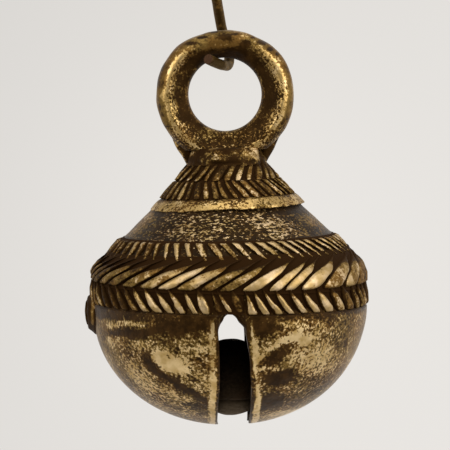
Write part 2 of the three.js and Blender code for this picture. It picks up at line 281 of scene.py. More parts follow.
def iron():
    """Dark, faintly rusty iron."""
    n = Nodes(bpy.data.materials.new("pellet_iron"))
    rust = n.ramp(n.noise(4.0, detail=5.0), 0.4, 0.65)
    scale = n.ramp(n.noise(0.9, detail=4.0, roughness=0.7), 0.35, 0.7)
    colour = n.mix(rust, (0.012, 0.007, 0.004), (0.030, 0.015, 0.006))
    colour = n.mix(scale, colour, (0.044, 0.029, 0.016))
    # The wear value lightens the colour; on the pellet it is painted light on the lower cap.
    n.shade(Base_Color=n.mix(n.attribute("wear"), colour, (0.062, 0.045, 0.027)))
    n.shade(Metallic=0.35, Specular_IOR_Level=0.3, Specular_Tint=(1.0, 0.72, 0.45, 1.0))
    n.shade(Roughness=n.ramp(scale, 0.0, 1.0, 0.5, 0.72), Normal=n.bump(scale, 0.12, 0.6))
    return n.owner


def wire():
    """Tarnished drawn wire with faint die lines, brighter rubs and rusty spots."""
    n = Nodes(bpy.data.materials.new("hook_wire"))
    rub = n.ramp(n.noise(2.2, detail=4.0, roughness=0.65), 0.5, 0.72)
    rust = n.ramp(n.noise(1.3, detail=4.0, roughness=0.65, offset=5.0), 0.56, 0.66)
    colour = n.mix(rub, (0.060, 0.033, 0.007), (0.24, 0.14, 0.035))
    colour = n.mix(rust, colour, (0.045, 0.014, 0.004))
    n.shade(Base_Color=n.mix(n.attribute("hollow"), colour, (0.035, 0.014, 0.006)))
    n.shade(Metallic=0.6, Specular_IOR_Level=0.35, Specular_Tint=(1.0, 0.8, 0.55, 1.0))
    grain = n.noise(0.5, detail=3.0, stretch=(1, 1, 6))
    n.shade(Roughness=n.ramp(grain, 0.3, 0.7, 0.36, 0.55))
    n.shade(Normal=n.bump(n.math("ADD", grain, rust), 0.06, 0.5))
    return n.owner


SHELL_LOOK = worn_brass(
    "bowl_patina", mottle=6.0, mottle_reach=0.7, fleck=0.7, fleck_reach=1.8, film_from=0.12, sheen=0.42,
)
CONE_LOOK = worn_brass(
    "cone_patina", mottle=5.0, mottle_reach=0.6, fleck=0.5, fleck_reach=2.2, stretch=(2.0, 2.0, 0.8),
    seed=4.0, metal=SHADED_STROKE_BRASS, crust=SHADED_CONE_PATINA, dull=0.04, sheen=0.3,
)
BRAID_LOOK = worn_brass(
    "braid_patina", mottle=3.0, mottle_reach=0.7, fleck=0.6, fleck_reach=1.1, seed=9.0, metal=SHADED_STROKE_BRASS,
    dull=0.13, deep=0.06,
)
RIBBON_LOOK = worn_brass(
    "ribbon_patina", mottle=3.5, mottle_reach=1.1, fleck=0.6, fleck_reach=1.2, seed=14.0, deep=0.14,
)
RING_LOOK = worn_brass(
    "ring_patina", mottle=4.0, mottle_reach=0.6, fleck=0.6, fleck_reach=1.3, seed=19.0, deep=0.12, sheen=0.12,
)
IRON_LOOK = iron()
WIRE_LOOK = wire()

# -------------------- bowl --------------------

# The seat of the lowest braid: its radius at the foot and at the head, its foot and its height
SEAT_FOOT_RADIUS, SEAT_HEAD_RADIUS, SEAT_FOOT, SEAT_HEIGHT = 34.9, 34.3, 31.3, 6
SEAT_EDGE = (31.0, 31.5)  # the bowl's round runs out into the seat between these heights


def bowl_radius(z):
    """The bowl's round outside, before its seat is cut."""
    drop = np.clip((BOWL_HEIGHT - z) / BOWL_HEIGHT, 0, 1)
    return BOWL_RADIUS * (1 - drop**BOWL_FULLNESS) ** (1 / BOWL_FULLNESS)


def outer_radius(z):
    """The bowl's outside, with the shallow seat that the lowest braid lies in."""
    seat = lerp(SEAT_FOOT_RADIUS, SEAT_HEAD_RADIUS, np.clip((z - SEAT_FOOT) / SEAT_HEIGHT, 0, 1))
    return lerp(bowl_radius(z), seat, smoothstep(*SEAT_EDGE, z))


def inner_radius(z):
    """The cavity: a sphere with a straight wall above."""
    return np.minimum(np.sqrt(np.maximum(CAVITY_RADIUS**2 - (CAVITY_CENTRE - z) ** 2, 0)), CAVITY_WALL)


# How the two front edges of the slot wander from a straight edge, as (z, outward shift), and where the rubbed
# strip beside each starts and ends, as (z, distance from the edge, distance from the edge).
SLOT_WANDER = {
    -1: ((0, -0.4), (8, -0.8), (16, -1.3), (24, -1.1), (31, -0.5)),
    1: ((0, 0.35), (8, 0.7), (13, 0.95), (20, 0.85), (26, 0.3), (31, 0.2)),
}
SLOT_STRIPS = {
    -1: ((0, 0.3, 1.9), (8, 0.6, 2.4), (16, 0.8, 2.7), (24, 0.8, 2.7), (28, 0.8, 1.9), (31, 0.8, 1.6)),
    1: (
        (0, 0.15, 2.2), (5, 0.5, 2.5), (10, 0.9, 2.5), (14, 1.1, 2.0), (19.5, 0.5, 2.1), (24, 1.0, 2.8),
        (28, 1.2, 1.8),
    ),
}
# Rubbed (positive) and dark (negative) patches of the bowl: azimuth from the front in degrees (left is
# negative), height, half width and half height in mm, tilt in degrees, and how much wear they add.
BOWL_PATCHES = (
    # left of the slot
    (-47, 28.6, 10.5, 1.0, 3, 0.3),
    (-45, 26.2, 9, 1.1, 2, -0.35),
    (-58, 23.6, 6, 1.2, 5, 0.24),
    (-41, 23.4, 4, 1.1, -8, 0.26),
    (-22, 28.5, 11, 1.9, 3, -0.4),
    (-30.6, 20.4, 3.2, 2.6, -35, 0.8),
    (-25.3, 18.3, 3.4, 1.7, -35, 0.5),
    (-27.8, 20.6, 0.5, 1.1, 10, -1.0),
    (-17, 20.0, 5.0, 6.0, 10, 0.2),
    (-11, 24, 2.5, 2.2, 0, 0.2),
    (-23.6, 22.4, 1.2, 0.8, -20, -0.35),
    (-14.4, 20.3, 1.6, 1.0, 0, -0.35),
    (-18, 15.2, 1.8, 0.8, -20, -0.35),
    (-38.2, 19.3, 1.4, 3.0, 0, -0.42),
    (-33.8, 16.3, 3.3, 1.2, -40, -0.5),
    (-25.5, 12.9, 4.2, 1.1, -35, -0.45),
    (-16, 9.9, 3.2, 1.1, -38, -0.4),
    (-50, 18, 5, 3.5, -10, 0.15),
    (-44, 12.5, 6.5, 2.6, -25, 0.16),
    (-28, 9.8, 4.5, 1.2, -20, 0.17),
    (-36, 5.5, 8, 2.5, 0, 0.1),
    (-18, 6.6, 4, 1.9, 0, -0.3),
    # right of the slot
    (13.5, 28.0, 4.4, 2.2, -5, -0.5),
    (22, 24.7, 4.4, 1.0, 22, 0.4),
    (30.5, 24.6, 3.2, 1.4, -12, 0.4),
    (14.5, 21.2, 3.2, 0.9, 35, 0.4),
    (40, 26.4, 8.5, 1.8, -8, 0.2),
    (19.8, 20.6, 3.9, 1.9, 32, -0.55),
    (39, 19.3, 9, 5, -8, 0.25),
    (23.5, 14.8, 4.8, 1.7, 0, -0.5),
    (15.5, 17.6, 2.4, 0.8, 0, 0.35),
    (22.5, 8, 4.3, 2.7, 0, -0.5),
    (39, 11, 4, 2, 0, 0.1),
    (58, 3.5, 10, 1.7, 0, 0.3),
    (50.9, 18.3, 0.8, 0.9, 0, -0.4),
    (60, 22.2, 0.8, 1.8, 8, -0.35),
    (70, 17, 7, 9, 0, 0.05),
)


def bowl_wear(points, edge):
    """Wear and pits of the bowl's outside: patches listed in front, random ones behind, rubbed slot lips."""
    from_front = degrees_from_front(points)
    wear = 0.31 + 0.07 * wobble(points, 9, seed=31)
    ragged_x, ragged_z = 0.5 * wobble(points, 2.5, seed=36), 0.5 * wobble(points, 2.5, seed=37)
    for azimuth, z, half_wide, half_high, tilt, gain in BOWL_PATCHES:
        across = np.radians(from_front - azimuth) * np.hypot(points[:, 0], points[:, 1]) + ragged_x
        up = points[:, 2] - z + ragged_z
        turn = math.radians(tilt)
        along = (across * math.cos(turn) + up * math.sin(turn)) / half_wide
        aside = (up * math.cos(turn) - across * math.sin(turn)) / half_high
        wear += gain * np.exp(-((along**2 + aside**2) ** 1.7))
    behind = smoothstep(75, 95, np.abs(from_front))
    wear += behind * (0.04 + 0.2 * wobble(points, 12, seed=32))
    wear = lerp(wear, 0.0, smoothstep(28.7, 30.2, points[:, 2] + 0.5 * wobble(points, 5, seed=33)))
    heights, starts, ends = np.array(SLOT_STRIPS[1 if points[0, 0] > 0 else -1]).T
    start = np.interp(points[:, 2], heights, starts) + 0.12 * wobble(points, 2, seed=39)
    end = np.interp(points[:, 2], heights, ends) + 0.25 * wobble(points, 3, seed=34)
    rubbed = np.where(from_front > 0, 0.64, 0.63) + 0.06 * wobble(points, 2.5, seed=38)
    rubbed *= smoothstep(start - 0.15, start + 0.15, edge) * smoothstep(end + 0.25, end - 0.25, edge)
    rubbed *= smoothstep(31, 29, points[:, 2])
    wear = wear * smoothstep(0.1, 0.8, edge)
    # Painted sheen: on the sides seen edge-on from the front, though not behind, the pits are thinned.
    painted_sheen_flank = smoothstep(46, 64, np.abs(from_front)) * smoothstep(8, 16, points[:, 2])
    pits = (1.1 - 0.55 * smoothstep(0.6, 0.95, wear)) * (1 - 0.45 * painted_sheen_flank * (1 - behind))
    return np.maximum(wear, rubbed), np.where(rubbed > wear, 0.5, pits)


# The top of the slot: the height of its round outside, and the foot, top and height of its arch inside
SLOT_ROUND, ARCH_FOOT, ARCH_TOP, ARCH_HEIGHT = 0.9, 26.3, 31.5, 5.2


def slot_half(z, side, front):
    """Half the slot's width outside and inside, for one of its four edges."""
    wide = lerp(SLOT_HALF_FOOT, SLOT_HALF_TOP, np.clip(z / SLOT_SHOULDER, 0, 1))
    at = np.stack([np.full_like(z, 31.0 * side), np.full_like(z, 57.0 * front), z], -1)
    shift = np.interp(z, *zip(*SLOT_WANDER[side])) if front else 0.0
    outside = wide + shift + 0.08 * wobble(at, 4, seed=41)
    inside = wide + np.maximum(shift, 0) - 0.3 * smoothstep(18, 27, z) + 0.05 * wobble(at, 3, seed=42)
    outside = outside * np.sqrt(np.clip((SLOT_TOP - z) / SLOT_ROUND, 0, 1))
    ragged = 0.35 * wobble(at, 1.3, seed=43) * smoothstep(25, 27, z)
    arch = np.clip((ARCH_TOP - z) / ARCH_HEIGHT, 0, 1) ** 0.55
    inside = (inside + ragged) * np.where(z > ARCH_FOOT, arch, 1.0)
    closed = z >= SLOT_TOP - 1e-6
    return np.where(closed, 0, outside), np.where(closed, 0, np.clip(inside, 0.02, None))


# The rows of the bowl swing up round the cavity's centre, outside on the first of these radii, and close on
# the second at the rim. Each row has points beside the lips at LIP_STEPS mm, ROW_POINTS along the outside
# between them and WALL_POINTS across the wall at each lip.
SWING_RADIUS, RIM_RADIUS = 37.02, 33.2
LIP_STEPS = (0, 0.08, 0.2, 0.36, 0.56, 0.85, 1.25)
ROW_POINTS, WALL_POINTS = 120, 5
LIP_ROUND, LIP_DROP = 0.55, 0.4  # how wide and how deep the slot's lips are rounded
SMOOTH_BESIDE_SLOT = 5.5  # nearer to the middle than this the casting has no lumps, to keep the slot
FOOT_CLEARANCE = 0.005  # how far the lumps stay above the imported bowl's foot


def bowl_half(side):
    """One half of the bowl. Each row is a closed loop along the outside, round the lips and back inside."""
    sweeps = (np.linspace(0, 74, 74), np.linspace(74.2, 82.1, 46), np.linspace(83, 90, 8))
    swing = np.radians(np.concatenate(sweeps))
    lips = np.array(LIP_STEPS)
    out_arm = math.sqrt(SWING_RADIUS**2 - SLOT_HALF_FOOT**2)
    in_arm = math.sqrt(CAVITY_RADIUS**2 - SLOT_HALF_FOOT**2)
    rows, wears, hollows, pitted = [], [], [], []
    for k, angle in enumerate(swing):
        z_out = CAVITY_CENTRE - out_arm * math.cos(angle)
        z_in = CAVITY_CENTRE - in_arm * math.cos(angle)
        last = k == len(swing) - 1
        r_out = RIM_RADIUS if last else float(outer_radius(np.array(z_out)))
        r_in = RIM_RADIUS if last else float(inner_radius(np.array(z_in)))
        z_out, z_in = (RIM_HEIGHT, RIM_HEIGHT) if last else (z_out, z_in)
        ends = []
        for front in (True, False):
            w_out = slot_half(np.array([z_out]), side, front)[0][0]
            w_in = slot_half(np.array([z_in if z_out < SLOT_TOP else SLOT_TOP]), side, front)[1][0]
            ends.append((min(w_out, r_out), min(w_in, r_in)))
        edge_out = [math.acos(min(1, w / r_out)) for w, _ in ends]
        edge_in = [math.acos(min(1, w / r_in)) for _, w in ends]
        length = r_out * (edge_out[0] + edge_out[1])
        inset = lips * min(1, length / 12)
        between = np.linspace(inset[-1], length - inset[-1], ROW_POINTS)[1:-1]
        arc = np.concatenate([inset, between, length - inset[::-1]])
        edge = np.minimum(arc, length - arc)
        share = arc / max(length, 1e-9)
        azimuth = lerp(-edge_out[0], edge_out[1], share)
        open_here = z_out < SLOT_TOP
        lip = LIP_DROP * min(1, length / 4) if open_here else 0.0
        drop = lip * np.clip(1 - edge / LIP_ROUND, 0, 1) ** 2
        tilted = z_out - SHOULDER_TILT * side * r_out * np.cos(azimuth) * smoothstep(22, 30, z_out)
        r_here = r_out if last else outer_radius(tilted) - outer_radius(np.array(z_out)) + r_out
        lie = around(r_here - drop, azimuth, z_out)
        inside = around(r_in, lerp(edge_in[1], -edge_in[0], share), z_in)
        steps = np.linspace(0, 1, WALL_POINTS + 2)[1:-1, None]
        wall_back = lerp(lie[-1], inside[0], steps)
        wall_front = lerp(inside[-1], lie[0], steps)
        loop = np.concatenate([lie, wall_back, inside, wall_front])
        rows.append(loop * [side, 1, 1])
        outside_edge = np.where(open_here, edge, 99.0)
        wear, pits = bowl_wear(lie * [side, 1, 1], outside_edge)
        dull = np.full(len(inside) + 2 * WALL_POINTS, 0.05)
        wears.append(np.concatenate([wear, dull]))
        pitted.append(np.concatenate([pits, np.ones(len(dull))]))
        hollows.append(np.concatenate([np.zeros(len(lie)), np.full(len(dull), 0.6)]))
    return np.array(rows), np.array(wears), np.array(hollows), np.array(pitted)


def bowl():
    """Both halves of the bowl. Above the slot they have no walls and are welded to each other."""
    halves = [bowl_half(side) for side in (1, -1)]
    count, columns = halves[0][0].shape[:2]
    faces = []
    outside = columns // 2 - WALL_POINTS
    for index, (points, *_) in enumerate(halves):
        quads = grid_faces(count, columns, wrap_columns=True)
        row = np.arange(len(quads)) // columns
        column = np.arange(len(quads)) % columns
        back_wall = (column >= outside - 1) & (column < outside + WALL_POINTS)
        front_wall = column >= columns - WALL_POINTS - 1
        above_slot = points[row, 0, 2] >= SLOT_TOP - 1e-6
        faces.append(quads[~((back_wall | front_wall) & above_slot)] + index * count * columns)
    points = np.concatenate([h[0].reshape(-1, 3) for h in halves])
    wear, hollow, pits = (np.concatenate([h[k].ravel() for h in halves]) for k in (1, 2, 3))
    out = points / np.linalg.norm(points - [0, 0, CAVITY_CENTRE], axis=1)[:, None]
    away = np.abs(points[:, 0]) > SMOOTH_BESIDE_SLOT
    points = points + out * (0.12 * wobble(points, 11, seed=35) * away)[:, None]
    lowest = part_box("bowl")[0].z / MM - BELL_BASE
    points[:, 2] = np.maximum(points[:, 2], lowest + FOOT_CLEARANCE)
    faces = np.concatenate(faces)
    return make("bowl_shell", points, faces, SHELL_LOOK, "bell", ["bowl"], wear, hollow, pits)


# -------------------- dome --------------------

# The dome's section as (radius, z)
DOME_OUTSIDE = (
    (31.4, 37.5), (34.3, 37.5), (31.2, 44.7), (28.0, 48.0), (27.2, 48.7), (25.6, 50.1), (23.2, 52.5),
    (21.2, 54.4), (19.3, 56.2), (16.6, 59.1), (12.8, 63.3), (9.8, 66.6), (9.3, 67.3), (0, 67.3),
)
DOME_INSIDE = ((0, 61.8), (4.5, 61.4), (9.5, 59.4), (16.9, 54.6), (24.4, 47.2), (28.2, 43.9), (31.4, 37.5))


def dome():
    """The upper shell. Only its bare cone shows, and only that is lumpy."""
    path = np.array(DOME_OUTSIDE + DOME_INSIDE)
    dense = []
    for a, b in zip(path[:-1], path[1:]):
        steps = max(2, int(np.linalg.norm(b - a) / 0.5))
        dense.append(lerp(a, b, np.linspace(0, 1, steps, endpoint=False)[:, None]))
    dense = np.concatenate(dense)
    azimuth = np.linspace(0, TAU, 300, endpoint=False)
    points = around(dense[:, None, 0], azimuth[None, :], dense[:, None, 1]).reshape(-1, 3)
    shown = smoothstep(47.5, 49, points[:, 2]) * smoothstep(58, 56, points[:, 2])
    shown = shown * (np.hypot(points[:, 0], points[:, 1]) > 26 - (points[:, 2] - 48.6) * 1.05)
    lie = 0.12 * wobble(points, 9, seed=51) + 0.05 * wobble(points * [0.4, 0.4, 3], 2.4, seed=52)
    points = points * (1 + (shown * lie)[:, None] / 30 * [1, 1, 0.0])
    from_front = degrees_from_front(points)
    aside = np.abs(from_front)
    limb = smoothstep(36, 56, aside) * smoothstep(124, 104, aside)
    # Painted light: the two patches of extra wear either side of the front, at -18 and 24 degrees, are partly
    # painted highlight, and on the sides seen edge-on the wear turns to an even film with fewer pits, a
    # painted sheen.
    wear = 0.24 + 0.06 * wobble(points, 6, seed=53)
    wear += 0.10 * hump(from_front, -18, 14) + 0.07 * hump(from_front, 24, 12)
    wear = lerp(wear, 0.33 + 0.07 * wobble(points, 7, seed=54), limb)
    wear -= 0.2 * smoothstep(50, 47.8, points[:, 2]) + 0.16 * smoothstep(54.6, 56.2, points[:, 2])
    pits = 1.15 - 0.8 * limb
    faces = grid_faces(len(dense), len(azimuth), wrap_rows=True, wrap_columns=True)
    return make("dome_shell", points, faces, CONE_LOOK, "bell", ["dome"], wear, 0.0, pits)


# -------------------- braids --------------------

# How much of the way to the next stroke a stroke reaches, from the band's foot (0) to its head (1).
LEAF = (
    (0, 0.3), (0.04, 0.66), (0.12, 0.88), (0.3, 0.94), (0.48, 0.9), (0.6, 0.76), (0.7, 0.5), (0.8, 0.2),
    (1, 0.06),
)
DROP = (
    (0, 0.3), (0.04, 0.6), (0.12, 0.74), (0.3, 0.74), (0.5, 0.62), (0.68, 0.48), (0.8, 0.32), (0.9, 0.14),
    (1, 0.06),
)
WEDGE = ((0, 0.1), (0.1, 0.26), (0.35, 0.46), (0.7, 0.62), (0.92, 0.74), (0.98, 0.7), (1, 0.5))
BLADE = ((0, 0.2), (0.06, 0.5), (0.2, 0.66), (0.6, 0.66), (0.9, 0.55), (1, 0.3))

# Azimuths of the feet of the strokes in front, in degrees from the front (left is negative). The rest of each
# band is filled in evenly.
MIDDLE_FEET = (
    -90, -82, -74, -66, -57, -46.5, -35.5, -28, -18.5, -9, -2.6,
    7.6, 18.5, 24.1, 32.8, 45.7, 60.2, 71, 77, 82.5, 88,
)
UPPER_FEET = (-54, -48, -42, -36, -29.5, -23.5, -16.5, -10, -2.5, 4, 10.5, 17.5, 24, 31, 36.5, 42, 47.5, 53)
LOWER_LEFT_FEET = (-76, -71, -65, -59.5, -53, -47, -41, -35.5, -29.3, -24, -18.8, -13.4)
LOWER_RIGHT_FEET = (15.2, 20.8, 26, 32.2, 38.2, 45.3, 52.5, 60, 67, 73, 79)

# How far the head lies right of the foot, in degrees, as (azimuth from the front, lean) pairs.
MIDDLE_LEAN = (
    (-180, 22), (-80, 28), (-56, 27), (-36, 25), (-10, 25), (6, 25), (20, 22), (32, 25), (43, 26), (56, 20),
    (70, 18), (95, 18), (180, 22),
)
UPPER_LEAN = (
    (-180, -6), (-70, 0), (-48, -1.2), (-30, -3), (-16, -5), (4, -6.7), (18, -7.7), (31, -9), (60, -10),
    (180, -6),
)
LOWER_LEAN = ((-180, -7), (-90, -5), (-60, -6.5), (-30, -7.6), (40, -7.4), (70, -6.5), (180, -7))
NECK_LOWER_LEAN = ((-180, -7), (-60, -1), (-20, -5), (20, -11), (60, -12), (180, -7))
NECK_UPPER_LEAN = ((-180, 14), (-60, 9), (0, 15), (60, 16), (180, 14))

# How bright the strokes' crests are, as (azimuth from the front, wear) pairs. Partly wear and partly painted
# light:
# higher where the lamps' highlights fall, about 10 to 40 degrees either side of the front, and lower on the
# sides seen edge-on.
MIDDLE_SHINE = (
    (-180, 0.5), (-90, 0.4), (-60, 0.45), (-44, 0.48), (-36, 0.6), (-16, 0.58), (-8, 0.46), (2, 0.47),
    (8, 0.65), (34, 0.66), (42, 0.46), (80, 0.42), (180, 0.5),
)
UPPER_SHINE = (
    (-180, 0.45), (-70, 0.42), (-40, 0.5), (-24, 0.66), (-14, 0.6), (-4, 0.46), (6, 0.52), (18, 0.66),
    (32, 0.66), (44, 0.6), (80, 0.5), (180, 0.45),
)
LOWER_SHINE = (
    (-180, 0.5), (-80, 0.4), (-44, 0.36), (-34, 0.58), (-10, 0.68), (-7, 0.42), (7, 0.45), (10, 0.68),
    (46, 0.64), (54, 0.46), (90, 0.42), (180, 0.5),
)
TAB_SHINE = ((-180, 0.28), (-1.5, 0.28), (0.4, 0.52), (2.6, 0.28), (180, 0.28))
NECK_SHINE = ((-180, 0.45), (-60, 0.4), (-30, 0.44), (-5, 0.4), (10, 0.48), (40, 0.43), (180, 0.45))


# Where the points of a stroke's section lie, from its left side (-1) to its right (1)
STROKE_SECTION = (-1, -0.96, -0.84, -0.6, -0.25, 0.15, 0.55, 0.8, 0.95, 1)
BAND_DEPTH = 0.6  # how far the back of a band lies inside the shell, so that the strokes look cast on it


def placed_feet(feet, gap, start, end, seed):
    """The azimuths of a band's strokes, and whether it goes all round: the feet given in degrees from the
    front that lie between start and end, and the rest of the way strokes about `gap` degrees apart."""
    draw = np.random.default_rng(seed)
    low, high = math.degrees(start) + 90, math.degrees(end) + 90
    looped = high - low > 359
    given = np.array([f for f in feet if low < f < high] or [0.5 * (low + high)], float)
    if looped:
        span = given[0] + 360 - given[-1]
        count = round(span / gap)
        rest = given[-1] + span * np.arange(1, count) / count
    else:
        right, left = high - given[-1], given[0] - low
        more, less = round(right / gap - 0.5), round(left / gap - 0.5)
        rest = np.concatenate([
            given[-1] + right * np.arange(1, more + 1) / (more + 0.5),
            given[0] - left * np.arange(1, less + 1) / (less + 0.5),
        ])
    rest = rest + 0.08 * gap * draw.normal(size=len(rest))
    return np.radians(np.sort(np.concatenate([given, rest])) - 90), looped


def braid(
    name, node, foot, head, gap, feet, leans, outline, rise, bright, shine, seed,
    arc=None, low=1.0, flat=2.6, tilt=(0.0, 0.0), bend=0.2, pits=0.6, wild=1.0, bulge=0.0,
):
    """A band of pressed strokes. foot and head are (ground radius, crest radius, z). rise is how a stroke's
    height goes along its length and bright where it is rubbed, both as (position, value) pairs. low scales
    the height and flat squares the strokes' section. tilt is how the foot and the head climb to the right, in
    mm to a mm. bend curves the strokes, wild makes them uneven and bulge rounds the band up and down."""
    draw = np.random.default_rng(seed)
    start, end = arc if arc else (-math.pi * 1.5, math.pi / 2)
    azimuths, looped = placed_feet(feet, gap, start, end, seed)
    count = len(azimuths)
    foot_steps, head_steps = np.linspace(0, 0.12, 6)[:-1], np.linspace(0.88, 1, 6)[1:]
    up = np.concatenate([[-0.08, -0.03], foot_steps, np.linspace(0.12, 0.88, 19), head_steps, [1.03, 1.08]])
    level = np.clip(up, 0, 1)
    width = np.interp(level, *zip(*outline))
    lift = np.interp(level, *zip(*rise)) * smoothstep(-0.01, 0.07, up) * smoothstep(1.01, 0.93, up)
    rub = np.interp(level, *zip(*bright))
    fullness = lerp(flat, min(flat, 2.2), smoothstep(0.45, 0.8, level))
    ground = lerp(foot[0], head[0], up) + 4 * bulge * level * (1 - level)
    height = lerp(foot[1] - foot[0], head[1] - head[0], up)
    z = lerp(foot[2], head[2], up)
    from_front = (np.degrees(azimuths) + 270) % 360 - 180
    slant = np.radians(np.interp(from_front, *zip(*leans)))
    if arc:
        to_end = np.minimum(azimuths - start, end - azimuths)
        slant *= smoothstep(0, 2.5 * math.radians(gap), to_end) * 0.6 + 0.4
    middles = azimuths[:, None] + slant[:, None] * ((1 - bend) * up + bend * up**2)[None, :]
    middles = middles + math.radians(gap) * 0.06 * wild * draw.normal(size=(count, 1)) * np.sin(math.pi * up)
    middles = middles + math.radians(gap) * 0.1 * (wild - 1) * draw.normal(size=(count, 1)) * up
    after = np.roll(middles, -1, axis=0)
    before = np.roll(middles, 1, axis=0)
    after[-1] = after[-1] + TAU if looped else 2 * end - middles[-1]
    before[0] = middles[-1] - TAU if looped else 2 * start - middles[0]
    # Crest wear by azimuth, partly painted light: highlights either side of the front, shade on the sides
    # seen edge-on.
    polish_and_painted_light = np.interp(from_front, *zip(*shine)) + 0.05 * draw.normal(size=count)
    phases, radii, wears, hollows = [], [], [], []

    def groove(phase):
        phases.append(phase)
        radii.append(ground + 0.02)
        wears.append(np.zeros_like(up))
        hollows.append(np.ones_like(up))

    if not looped:
        groove(np.full_like(up, start))
    for i in range(count):
        fat = 1 + 0.14 * wild * draw.normal()
        tall = 1 + 0.08 * draw.normal()
        sides = [np.stack([up * 20, np.full_like(up, i * 9.0 + k), np.zeros_like(up)], -1) for k in (0, 4)]
        ragged = [width * fat * (1 + 0.09 * wobble(side, 3, seed + 2)) for side in sides]
        reaches = [np.clip(reach, 0.03, 0.95) / 2 for reach in ragged]
        for t in STROKE_SECTION:
            gap_here = after[i] - middles[i] if t > 0 else middles[i] - before[i]
            swell = np.sqrt(1 - abs(t) ** fullness)
            phases.append(middles[i] + t * reaches[t > 0] * np.maximum(gap_here, 0.2 * math.radians(gap)))
            radii.append(ground + 0.12 + height * lift * low * tall * swell * (1 + 0.12 * t))
            wears.append(rub * polish_and_painted_light[i] * smoothstep(0.3, 0.7, swell**1.5) * smoothstep(0, 0.3, lift))
            hollows.append(1 - smoothstep(0.15, 0.6, swell * lift))
        groove((middles[i] + after[i]) / 2 if looped or i < count - 1 else np.full_like(up, end))
    azimuth = np.array(phases)
    radius, shape_z = np.array(radii), np.broadcast_to(z, (len(radii), len(up)))
    front = around(radius, azimuth, shape_z)
    back = around((ground - BAND_DEPTH)[None, [-1, 0]], azimuth[:, [-1, 0]], shape_z[:, [-1, 0]])
    points = np.concatenate([front, back], axis=1)
    points[..., 2] += lerp(*tilt, np.concatenate([up, up[[-1, 0]]])) * points[..., 0]
    zeros = np.zeros((len(radii), 2))
    wear = np.concatenate([np.array(wears), zeros], axis=1)
    hollow = np.concatenate([np.array(hollows), zeros + 1], axis=1)
    rows, cols = points.shape[:2]
    faces = grid_faces(rows, cols, wrap_rows=True, wrap_columns=True) if looped else tube_faces(rows, cols)
    cast = points.reshape(-1, 3)
    rough = 0.06 * wobble(cast, 2.2, seed + 1) * (hollow.ravel() < 0.5) + 0.04 * wobble(cast, 0.9, seed + 3)
    cast = cast + rough[:, None]
    reach = np.hypot(cast[:, 0], cast[:, 1])
    cast[:, :2] *= np.minimum(1, (foot[1] - 0.1) / reach)[:, None]
    return make(name, cast, faces, BRAID_LOOK, "bell", [node], wear, hollow, pits)


def braids():
    """The six bands of strokes and the two tabs over the slot, from the lowest up."""
    notch = math.radians(6.5)  # half the break in the lowest band over the slot, where a tab fills it
    lower = dict(
        foot=(34.8, 36.15, 31.3), head=(34.8, 35.8, 37.7), gap=6.2, leans=LOWER_LEAN, outline=DROP,
        rise=((0, 0.25), (0.08, 0.6), (0.2, 0.9), (0.35, 1), (0.6, 0.95), (1, 0.5)),
        bright=((0, 1.05), (0.5, 1.0), (0.68, 0.85), (0.8, 0.5), (0.9, 0.1), (1, 0)), shine=LOWER_SHINE,
        bend=-0.1, pits=0.5, tilt=(SHOULDER_TILT,) * 2,
    )
    halves = (("right", 0.0, LOWER_RIGHT_FEET, 66), ("left", -math.pi, LOWER_LEFT_FEET, 65))
    for side, middle, feet, seed in halves:
        arc = (middle + FRONT + notch, middle + BACK - notch)
        braid(f"lower_strokes_{side}", f"shoulder_braid_lower_{side}", seed=seed, arc=arc, feet=feet, **lower)
    tab = dict(lower, gap=4.0, low=0.42, foot=(34.8, 36.15, 31.95), shine=TAB_SHINE, feet=(-3.8, 0.4, 4.2))
    for side, middle, seed in (("front", FRONT, 75), ("back", BACK, 74)):
        arc = (middle - 0.93 * notch, middle + 0.93 * notch)
        braid(f"slot_tab_strokes_{side}", f"slot_tab_{side}", seed=seed, arc=arc, **tab)
    braid(
        "middle_strokes", "shoulder_braid_middle", foot=(34.8, 35.95, 37.1), head=(31.3, 32.8, 45.0),
        gap=10.0, feet=MIDDLE_FEET, leans=MIDDLE_LEAN, outline=LEAF,
        rise=((0, 0.45), (0.1, 0.8), (0.25, 1), (0.55, 1), (0.7, 0.8), (0.82, 0.45), (1, 0.15)),
        bright=((0, 0.9), (0.45, 1), (0.6, 0.95), (0.7, 0.8), (0.78, 0.5), (0.86, 0.15), (1, 0)),
        shine=MIDDLE_SHINE, seed=81, flat=6.0, bend=0.45, pits=0.45, bulge=0.5, tilt=(SHOULDER_TILT, 0.0),
    )
    braid(
        "upper_strokes", "shoulder_braid_upper", foot=(31.3, 32.2, 44.4), head=(27.3, 28.3, 48.7), gap=6.1,
        feet=UPPER_FEET, leans=UPPER_LEAN, outline=WEDGE, rise=((0, 0.6), (0.5, 1), (1, 1)),
        bright=((0, 0.6), (0.4, 0.95), (1, 1.1)), shine=UPPER_SHINE, seed=82, pits=0.8,
    )
    braid(
        "neck_lower_strokes", "neck_braid_lower", foot=(16.9, 17.8, 59.0), head=(12.8, 13.8, 63.5), gap=9.0,
        feet=(), leans=NECK_LOWER_LEAN, outline=BLADE, rise=((0, 0.8), (0.5, 1), (1, 0.8)),
        bright=((0, 0.9), (0.5, 1), (1, 0.9)), shine=NECK_SHINE, seed=83, tilt=(0.02, 0.02), wild=1.8,
    )
    braid(
        "neck_upper_strokes", "neck_braid_upper", foot=(12.7, 13.8, 63.3), head=(9.5, 10.3, 67.6), gap=12.8,
        feet=(), leans=NECK_UPPER_LEAN, outline=BLADE, rise=((0, 0.9), (0.5, 1), (1, 0.7)),
        bright=((0, 1.1), (0.5, 1), (1, 0.6)), shine=NECK_SHINE, seed=84, tilt=(0.01, 0.01), wild=1.8,
    )


